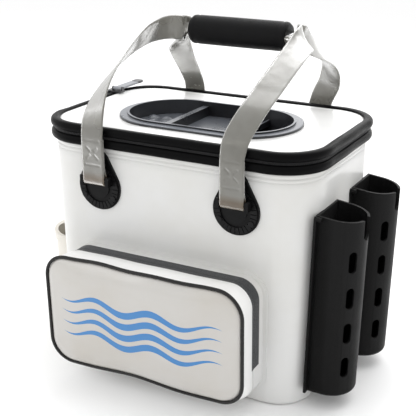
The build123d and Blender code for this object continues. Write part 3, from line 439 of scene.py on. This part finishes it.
# The lid is the same white sheet over a stiff board, slightly crowned, cut out for the port.
# A flat hem is welded round it just inside the roll.
lid_outline, _ = outline(0.1715, 0.1065, 0.0455)
port_hole, _ = outline(0.111, 0.064, 0.0639)
port_hole = port_hole + np.array((0.004, -0.010))
lid_underside, lid_crown, lid_ripple = 0.308, 0.0007, 0.00012


def lid_ring(share, height, crown):
    """A ring of the lid's sheet, from its outline at 0 to the port's hole at 1."""
    ring = lid_outline + (port_hole - lid_outline) * share
    lift = crown * math.sin(math.pi * min(share * 1.2, 1))
    lift = lift + lid_ripple * np.sin(ring[:, 0] * 90) * np.cos(ring[:, 1] * 70)
    return np.column_stack((ring, height + lift * (share not in (0, 1))))


# The top's rings as shares of the way in and heights, with the hem just inside the roll
hem = ((0, 0.3128), (0.04, 0.3134), (0.09, 0.3134), (0.12, 0.3130), (0.2, 0.3130), (0.35, 0.3131),
       (0.5, 0.3132), (0.65, 0.3132), (0.8, 0.3131), (0.9, 0.3130), (1, 0.3129))
rings = [lid_ring(share, height, lid_crown) for share, height in hem]
rings += [lid_ring(share, lid_underside, 0) for share in (1, 0)]
points, faces = loft(rings, closed_loft=True)
# The lid's white is painted brighter than the walls', though both are one sheet: painted light on the top
top_white_painted_light = sheet_finish("top_white_painted_light", (0.92, 0.92, 0.915), (0.9, 0.9, 0.885), 0.25, 0.08,
                         Coat_Weight=0.3, Coat_Roughness=0.1)
lid_sheet = piece("lid_sheet", points, [face[::-1] for face in faces], top_white_painted_light, "lid")
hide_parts("lid_panel")


# The port is a black moulded tub let into the lid: a wide oval flange with a raised lip, a
# recess with five domes on a sprung flap, a low ridge, and a basin beside the drop opening.
port_plastic = black_finish("port_plastic", (0.010, 0.0105, 0.0125), (0.04, 0.042, 0.048),
                            1600.0, 0.06, 0.3, Coat_Weight=0.1, Coat_Roughness=0.12)


def part_of(tree, kind, output, axis):
    """One axis of a point's place or of the way it faces."""
    return put(tree, "SeparateXYZ", {0: put(tree, kind).outputs[output]}).outputs[axis]


def overlay(material, mask, colour):
    """Lays a colour over a finished material's own, as far as the mask says."""
    tree, shader = material.node_tree, material.node_tree.nodes["Principled BSDF"]
    own_colour = shader.inputs["Base Color"].links[0].from_socket
    tree.links.new(mixed(tree, mask, own_colour, colour), shader.inputs["Base Color"])


# What faces up is painted paler, the flange most: a painted reflection of the white sky on the black
# plastic
tree = port_plastic.node_tree
at_top = put(tree, "MapRange", {"Value": part_of(tree, "TexCoord", "Object", "Z"),
                                "From Min": 0.3125, "From Max": 0.3135, "To Min": 0.6})
facing_up = put(tree, "MapRange", {"Value": part_of(tree, "NewGeometry", "Normal", "Z"),
                                   "From Min": 0.45, "From Max": 0.85})
sky_reflection_paint = sums(tree, "MULTIPLY", at_top.outputs["Result"], facing_up.outputs["Result"])
overlay(port_plastic, sky_reflection_paint, (0.155, 0.167, 0.192))
dress(port_plastic, "port_frame", "port_ring", "port_flap")
plated_steel, tree, shader = surface("plated_steel", (0.6, 0.6, 0.62), 0.3, Metallic=1.0)
streak = put(tree, "TexNoise", {"Scale": 300.0, "Detail": 4.0})
streak_rough = put(tree, "MapRange", {"Value": streak.outputs["Fac"], "To Min": 0.2, "To Max": 0.5})
tree.links.new(streak_rough.outputs["Result"], shader.inputs["Roughness"])
dress(plated_steel, "port_screws", "port_pin", "port_spring")


# The lid's zip slider is a dark moulded block outside the rolls, with an arm over the top.
# The arm carries the pull, a flat grey tab with an eye and a black tip.
slider_plastic = black_finish("slider_plastic", (0.02, 0.02, 0.022), (0.07, 0.07, 0.075), 1200.0, 0.1, 0.35)
tab_grey = black_finish("tab_grey", (0.17, 0.18, 0.2), (0.3, 0.31, 0.33), 1200.0, 0.2, 0.45)
dress(slider_plastic, "zip_slider", "zip_pull_tip")
dress(tab_grey, "zip_pull")


# Four moulded rubber lugs hold the straps: teardrops with a ribbed ring and a slot for the loop.
# Three rivets clamp each one through the wall to a round backing plate inside.
lug_rubber = black_finish("lug_rubber", (0.005, 0.005, 0.0052), (0.016, 0.016, 0.0165), 1300.0, 0.12, 0.34,
                          Specular_IOR_Level=0.11)
dress(lug_rubber, "front_left_lug", "front_right_lug", "back_left_lug", "back_right_lug", "lug_rivets",
      "lug_backings")


# Each carrying strap is one length of smoky clear soft plastic. Its ends loop the lugs' bars
# and are folded up and welded with a cross; between them it twists and passes through the grip.
smoky = sheet_finish("smoky_strap", (0.29, 0.286, 0.262), (0.2, 0.192, 0.166), 0.26, 0.1, ripple_scale=30.0,
                     Transmission_Weight=0.38, IOR=1.42, Coat_Weight=0.35, Coat_Roughness=0.06)
# The strap is tinted brown below a set height, round the loops on the bars
tree = smoky.node_tree
low_brown_tint = put(tree, "MapRange", {"Value": part_of(tree, "TexCoord", "Object", "Z"),
                                 "From Min": 0.264, "From Max": 0.256, "To Max": 0.85})
overlay(smoky, low_brown_tint.outputs["Result"], (0.15, 0.105, 0.06))
strap_half, strap_thickness, strap_steps, strap_columns = 0.015, 0.0020, 620, 26
edge_from, edge_thin = 0.93, 0.12
# The lugs' bars, and the loop and its folded end round them
strap_foot, bar_y, bar_z, loop_radius = 0.091, 0.120193, 0.25174, 0.00408
fold_gap, fold_ease = 0.00002, 0.0009
# The weld's height, and its lines and cross in the weld's own scale, with their depths in metres
weld_low, weld_high, weld_margin, weld_scale = 0.270, 0.3035, 0.006, 0.0105
line_at, line_spread, line_reach, line_depth = 1.42, 0.09, 0.72, 0.0005
cross_slope, cross_spread, cross_inner, cross_outer, cross_depth = 1.25, 0.13, 0.28, 0.95, 0.00055
# The grip the straps meet in, and how far from its middle they twist and lie flat
grip_middle, strap_offset = np.array((0.026, 0.025, 0.413)), 0.0014
twist_from, twist_step, flat_from = 0.065, 0.004, 0.04


def smooth_path(stations, count):
    """A centripetal spline through stations of (place, width direction, half width)."""
    data = np.array(stations, float)
    gaps = np.sqrt(np.linalg.norm(np.diff(data[:, :3], axis=0), axis=1))
    knots = np.concatenate(((0,), np.cumsum(gaps)))
    slopes = np.gradient(data, knots, axis=0)
    out = []
    for t in np.linspace(0, knots[-1], count):
        i = min(max(int(np.searchsorted(knots, t, side="right")) - 1, 0), len(knots) - 2)
        h = knots[i + 1] - knots[i]
        u = (t - knots[i]) / h
        out.append((2 * u**3 - 3 * u**2 + 1) * data[i] + (u**3 - 2 * u**2 + u) * h * slopes[i]
                   + (3 * u**2 - 2 * u**3) * data[i + 1] + (u**3 - u**2) * h * slopes[i + 1])
    return np.array(out)


def through_grip(side, hand):
    """The last stations of a leg: both straps twist as one beside the grip, then lie flat in it."""
    x, y, z = grip_middle
    rows = []
    for step in range(4):
        c, s = math.cos(math.radians(30 * step)), math.sin(math.radians(30 * step))
        before = hand * (twist_from + twist_step * (3 - step))
        rows.append((x + before, y + side * strap_offset * c, z - side * strap_offset * s,
                     0, -hand * s, -hand * c))
    return rows + [(x + before, y, z - side * strap_offset, 0, -hand, 0)
                   for before in (hand * flat_from, 0)]


def strap_leg(side, hand, stations):
    """One leg going up: the folded end, the loop under the bar, the stations, then the grip.

    The side is -1 at the front and 1 at the back, and the hand -1 at the left and 1 at the right.
    """
    foot, lapped = hand * strap_foot, bar_y + loop_radius - strap_thickness - fold_gap
    rows = [(foot, side * lapped, z, 1, 0, 0) for z in (weld_high, 0.296, 0.286, 0.276)]
    rows.append((foot, side * (lapped - fold_ease), 0.2655, 1, 0, 0))
    for angle in range(180, -1, -20):
        c, s = math.cos(math.radians(angle)), math.sin(math.radians(angle))
        rows.append((foot, side * (bar_y + loop_radius * c), bar_z - loop_radius * s, 1, 0, 0))
    rows += [(foot, side * (bar_y + loop_radius), z, 1, 0, 0) for z in (0.264, 0.276, 0.290, weld_high)]
    return [(*row, strap_half) for row in rows + stations + through_grip(side, hand)]


def weld_dip(u, v):
    """How deep the weld is pressed in: a line above and one below, and a cross between them."""
    dip = 0
    for line in (-line_at, line_at):
        dip = dip + line_depth * math.exp(-(((v - line) / line_spread) ** 2)) * (np.abs(u) < line_reach)
    arm = np.minimum(np.abs(u * cross_slope - v), np.abs(u * cross_slope + v))
    radius = np.hypot(u * cross_slope, v)
    in_cross = (radius > cross_inner) & (radius < cross_outer)
    return dip + cross_depth * np.exp(-((arm / cross_spread) ** 2)) * in_cross


def ribbon(name, rows, outer, node, body):
    """A flat strap along rows of stations, with rounded edges and its welds pressed in."""
    path = smooth_path(rows, strap_steps)
    spots, wide, half = path[:, :3], path[:, 3:6], path[:, 6]
    along = np.gradient(spots, axis=0)
    along /= np.linalg.norm(along, axis=1)[:, None]
    wide = wide - (wide * along).sum(1)[:, None] * along
    wide /= np.linalg.norm(wide, axis=1)[:, None]
    face = np.cross(wide, along) * outer
    u = np.linspace(-1, 1, strap_columns)
    edge_round = np.sqrt(1 - np.clip((np.abs(u) - edge_from) / (1 - edge_from), 0, 1) ** 2)
    thick = strap_thickness / 2 * (edge_thin + (1 - edge_thin) * edge_round)
    rise = spots[:, 2]
    upright = np.abs(np.abs(spots[:, 1]) - (bar_y + loop_radius)) < 0.0006
    welded = upright & (rise > weld_low - weld_margin) & (rise < weld_high + weld_margin / 2)
    rings = []
    for i in range(strap_steps):
        top = thick
        if welded[i]:
            top = thick - weld_dip(u, (rise[i] - (weld_low + weld_high) / 2) / weld_scale)
        upper = spots[i] + np.outer(u * half[i], wide[i]) + np.outer(top, face[i])
        lower = spots[i] + np.outer(u[::-1] * half[i], wide[i]) - np.outer(thick[::-1], face[i])
        rings.append(np.concatenate((upper, lower)))
    points, faces = loft(rings, cap_first=True, cap_last=True)
    if outer > 0:
        faces = [face_points[::-1] for face_points in faces]
    made = piece(name, points, faces, smoky, body)
    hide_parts(node)


# Each station is a place, then the way the strap's width points there
front_left = strap_leg(-1, -1, [
    (-0.0915, -0.12, 0.325, 0.96, 0.03, 0.22), (-0.0915, -0.106, 0.349, 0.88, -0.12, 0.42),
    (-0.0915, -0.082, 0.369, 0.78, -0.33, 0.53), (-0.0912, -0.05, 0.386, 0.64, -0.44, 0.63),
    (-0.089, -0.023, 0.3985, 0.48, -0.5, 0.72), (-0.084, -0.004, 0.407, 0.28, -0.5, 0.82),
    (-0.077, 0.0085, 0.411, 0.14, -0.42, 0.9), (-0.069, 0.0155, 0.4133, 0.06, -0.25, 0.96),
    (-0.06, 0.0194, 0.4138, 0.03, -0.06, 0.99)
])
front_right = strap_leg(-1, 1, [
    (0.094, -0.1205, 0.325, 0.97, 0.22, 0.08), (0.102, -0.104, 0.349, 0.91, 0.38, 0.02),
    (0.109, -0.07, 0.373, 0.92, 0.36, -0.08), (0.1145, -0.032, 0.396, 0.93, 0.25, -0.2),
    (0.1165, -0.01, 0.4073, 0.9, 0.12, -0.43), (0.1163, 0.003, 0.4123, 0.76, 0.16, -0.63),
    (0.114, 0.013, 0.4146, 0.5, 0.2, -0.84), (0.1095, 0.02, 0.4145, 0.2, 0.05, -0.97)
])
back_left = strap_leg(1, -1, [
    (-0.0895, 0.1195, 0.322, 1, 0, 0.08), (-0.0873, 0.103, 0.343, 0.98, 0, 0.18),
    (-0.0848, 0.085, 0.361, 0.95, 0, 0.3), (-0.082, 0.072, 0.374, 0.9, 0.05, 0.43),
    (-0.078, 0.0605, 0.3845, 0.8, 0.15, 0.58), (-0.0715, 0.049, 0.3945, 0.62, 0.27, 0.74),
    (-0.064, 0.0385, 0.4035, 0.35, 0.33, 0.87), (-0.058, 0.0318, 0.4095, 0.08, 0.16, 0.98)
])
back_right = strap_leg(1, 1, [
    (0.096, 0.1225, 0.322, 0.99, -0.05, -0.05), (0.107, 0.116, 0.343, 0.97, -0.15, -0.12),
    (0.114, 0.101, 0.3635, 0.9, -0.3, -0.25), (0.1155, 0.082, 0.3805, 0.8, -0.42, -0.4),
    (0.115, 0.067, 0.3895, 0.62, -0.52, -0.55), (0.113, 0.053, 0.3975, 0.42, -0.56, -0.7),
    (0.1109, 0.043, 0.403, 0.3, -0.52, -0.8), (0.1076, 0.0335, 0.4086, 0.12, -0.33, -0.93)
])


def joined(left, right):
    """One strap from the left end to the right end; the right leg is turned to run on."""
    return left + [(*row[:3], -row[3], -row[4], -row[5], row[6]) for row in right[-2::-1]]


ribbon("front_carry_strap", joined(front_left, front_right), 1, "front_strap", "front_handle")
ribbon("back_carry_strap", joined(back_left, back_right), -1, "back_strap", "back_handle")


# The grip is a thick sleeve of closed-cell foam, slit along its back, wrapped round the
# straps in the middle. Its skin is smooth and satin, with a stitched band at each end.
foam_skin = black_finish("foam_skin", (0.005, 0.005, 0.0054), (0.012, 0.012, 0.0125), 2200.0, 0.35, 0.42,
                         Specular_IOR_Level=0.09)
grip_half, grip_radius, grip_belly = 0.064, 0.0172, 0.012
end_from, end_shrink = 0.93, 0.16
stitch_at, stitch_half, stitch_dip = 0.88, 0.012, 0.035
arc = [(math.cos(a), math.sin(a)) for a in np.radians(np.linspace(14, 342, 48))]
# The slit's two lips, and the flat bed the straps lie on between them, in radii
lips = ((0.85, -0.30), (0.2, -0.29), (-0.6, -0.29), (-0.83, -0.2), (-0.85, -0.06), (-0.83, 0.12),
        (-0.6, 0.18), (0.2, 0.18), (0.85, 0.19))
rings = []
for step in np.linspace(-1, 1, 49):
    end = 1 - end_shrink * (max(abs(step) - end_from, 0) / (1 - end_from)) ** 2
    waist = 1 + grip_belly * math.cos(step * math.pi / 2)
    waist -= stitch_dip * math.exp(-(((abs(step) - stitch_at) / stitch_half) ** 2))
    radius = grip_radius * end * waist
    section = [(radius * y, radius * z) for y, z in arc]
    section += [(grip_radius * y, grip_radius * z) for y, z in lips]
    rings.append(grip_middle + np.array([(step * grip_half, y, z) for y, z in section]))
points, faces = loft(rings, cap_first=True, cap_last=True)
foam_grip = piece("foam_grip", points, faces, foam_skin, "front_handle")
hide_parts("grip")


# The front pocket: a moulded base welded to the wall, then a soft white gusset and a padded
# front panel, with a black piping in the seam. All of it slouches a little at the bottom.
dress(white_sheet, "pocket_base")
lean_angle = math.atan(body_lean)
wall_up = np.array((0, -math.sin(lean_angle), math.cos(lean_angle)))
wall_out = np.array((0, -math.cos(lean_angle), -math.sin(lean_angle)))
wall_foot = np.array((0, -floor_half[1], 0))


def on_front(x, up, out):
    """Points given across, up and out from the foot of the front wall, in the shared frame."""
    x, up, out = np.broadcast_arrays(x, up, out)
    return wall_foot + np.outer(x, (1, 0, 0)) + np.outer(up, wall_up) + np.outer(out, wall_out)


# Half width, half height, corner radius and height of the middle, at the base and at the panel
base_rim, front_rim = np.array((0.125, 0.075, 0.024, 0.092)), np.array((0.129, 0.069, 0.028, 0.102))
base_out, gusset_depth, gusset_skin = 0.0262, 0.0358, 0.0008
panel_out, panel_inset, pucker, pucker_length = 0.0615, 0.0004, 0.0012, 0.14


def slump(x, low):
    """How far the soft edge strays: it lifts in the middle of the foot and ripples along the top."""
    lift = 0.0038 * np.exp(-(((x + 0.012) / 0.05) ** 2)) + 0.0009 * ripple_along(x + 0.03, 0.12)
    return lift * low**2 + 0.0006 * ripple_along(x, 0.075) * (1 - low)


def pocket_ring(share, grow, out):
    """The pocket's outline part of the way from its base to its panel, slouched and grown."""
    half_width, half_height, radius, middle = base_rim + (front_rim - base_rim) * share
    points, normals = outline(half_width + grow, half_height + grow, radius + grow)
    x, up = points[:, 0], points[:, 1] + middle
    low = np.clip(-points[:, 1] / half_height, 0, 1)
    return on_front(x, up + slump(x, low) * share, out + pucker * ripple_along(x, pucker_length, 1) * share)


gusset_sheet = sheet_finish("gusset_sheet", (0.9, 0.9, 0.89), (0.86, 0.855, 0.84), 0.34, 0.18,
                            ripple_scale=26.0, Coat_Weight=0.2, Coat_Roughness=0.2)
rings = []
for step in np.linspace(0, 1, 15):
    swell = 0.0022 * math.sin(math.pi * step) - 0.0004
    rings.append(pocket_ring(step, swell, base_out + gusset_depth * step))
rings.append(pocket_ring(1, -0.002, 0.0625))
for step in np.linspace(1, 0, 9):
    swell = 0.002 * math.sin(math.pi * step) - 0.0028
    rings.append(pocket_ring(step, swell, base_out + (gusset_depth - gusset_skin) * step))
points, faces = loft(rings, closed_loft=True)
gusset = piece("pocket_gusset_skin", points, [face[::-1] for face in faces], gusset_sheet,
               "pocket_front")
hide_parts("pocket_gusset")

panel_sheet = sheet_finish("panel_sheet", (0.53, 0.515, 0.49), (0.5, 0.475, 0.435), 0.22, 0.2,
                           ripple_scale=11.0, Coat_Weight=0.5, Coat_Roughness=0.08)
# The panel's rings as shares of its outline and how far each stands out from the wall
swelling = ((1.0, panel_out), (1.0, 0.0632), (0.985, 0.0655), (0.965, 0.0666), (0.93, 0.0679),
            (0.87, 0.0695), (0.78, 0.0714), (0.66, 0.0731), (0.52, 0.0743), (0.38, 0.0751),
            (0.22, 0.0756), (0.08, 0.0757))
half_width, half_height, radius, middle = front_rim
panel_edge, _ = outline(half_width - panel_inset, half_height - panel_inset, radius)
rings = [pocket_ring(1, -0.004, panel_out)]
for share, out in swelling:
    x, up = (panel_edge * share).T
    low = np.clip(-up / half_height, 0, 1)
    dent = pucker * ripple_along(x, pucker_length, 1) - pucker * (share < 0.9) * np.cos(up * 40)
    rings.append(on_front(x, up + middle + slump(x, low) * share, out + dent * share))
points, faces = loft(rings, cap_first=True, cap_last=True)

# Plain blue wave stripes printed across the panel, tapering to a point at both ends
print_reach, print_foot, stripe_pitch, stripe_count, stripe_half = 0.108, 0.072, 0.0145, 4, 0.3
wave_length, wave_height = 0.077, 0.0052
tree = panel_sheet.node_tree
x, z = part_of(tree, "TexCoord", "Object", "X"), part_of(tree, "TexCoord", "Object", "Z")
bend = sums(tree, "SINE", sums(tree, "MULTIPLY", x, 2 * math.pi / wave_length))
wave = sums(tree, "MULTIPLY", bend, wave_height)
above_foot = sums(tree, "SUBTRACT", z, print_foot)
rise = sums(tree, "DIVIDE", sums(tree, "SUBTRACT", above_foot, wave), stripe_pitch)
reach = sums(tree, "DIVIDE", x, print_reach)
taper = sums(tree, "MULTIPLY_ADD", sums(tree, "MULTIPLY", reach, reach), -stripe_half, stripe_half)
off_middle = sums(tree, "ABSOLUTE", sums(tree, "SUBTRACT", sums(tree, "FRACT", rise), 0.5))
inked = sums(tree, "LESS_THAN", off_middle, taper)
in_print = sums(tree, "MULTIPLY", sums(tree, "GREATER_THAN", rise, 0.0),
                sums(tree, "LESS_THAN", rise, stripe_count))
in_front = sums(tree, "LESS_THAN", part_of(tree, "NewGeometry", "Normal", "Y"), -0.3)
printed = sums(tree, "MULTIPLY", sums(tree, "MULTIPLY", inked, in_print), in_front)
overlay(panel_sheet, printed, (0.03, 0.19, 0.47))
panel = piece("pocket_front_panel", points, faces, panel_sheet, "pocket_front")
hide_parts("pocket_panel")

gloss_piping = black_finish("gloss_piping", (0.006, 0.0055, 0.0055), (0.02, 0.019, 0.018),
                            1500.0, 0.08, 0.25, Specular_IOR_Level=0.3)
piping_radius = 0.0021
seam = pocket_ring(1, 0.0012, 0.0644)
_, normals = outline(*front_rim[:3])
outward = np.outer(normals[:, 0], (1, 0, 0)) + np.outer(normals[:, 1], wall_up)
rings = [seam + piping_radius * (outward * math.cos(angle) + wall_out * math.sin(angle))
         for angle in np.radians(np.arange(12) * 30)]
points, faces = loft(rings, closed_loft=True)
piping = piece("pocket_seam_piping", points, faces, gloss_piping, "pocket_front")
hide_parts("pocket_piping")


# The pocket's zip runs over its top and part of the way down both sides on dark coated tape.
# One half of the tape is welded to the base and one to the gusset. The slider is dark plastic.
grey_tape = tape_finish("grey_tape", (0.026, 0.028, 0.031), (0.05, 0.053, 0.058), 0.45)
dress(grey_tape, "pocket_base_tape", "pocket_gusset_tape")
dress(slider_plastic, "pocket_slider", "pocket_pull")


# Two rod holders on the right wall, matt black tubes moulded with a notched nose and drain slots.
# Each has a flat back with a flange along both sides, and two plated rivets hold it to the wall.
holder_plastic = black_finish("holder_plastic", (0.005, 0.005, 0.005), (0.013, 0.013, 0.0132),
                              800.0, 0.3, 0.48, Specular_IOR_Level=0.08)
dress(holder_plastic, "rod_holder_front", "rod_holder_rear")
dress(plated_steel, "holder_rivets")


# The bottle holder on the left wall is white plastic, painted cream as painted shade: a sleeve with a
# window, and a cup below.
# Both stand on one back plate riveted to the wall, and a rim band stiffens the cup's mouth.
cream_painted_shade = sheet_finish("cream_painted_shade", (0.72, 0.69, 0.63), (0.68, 0.65, 0.58), 0.35, 0.05)
dress(cream_painted_shade, "side_back", "side_sleeve", "side_cup", "side_rim")
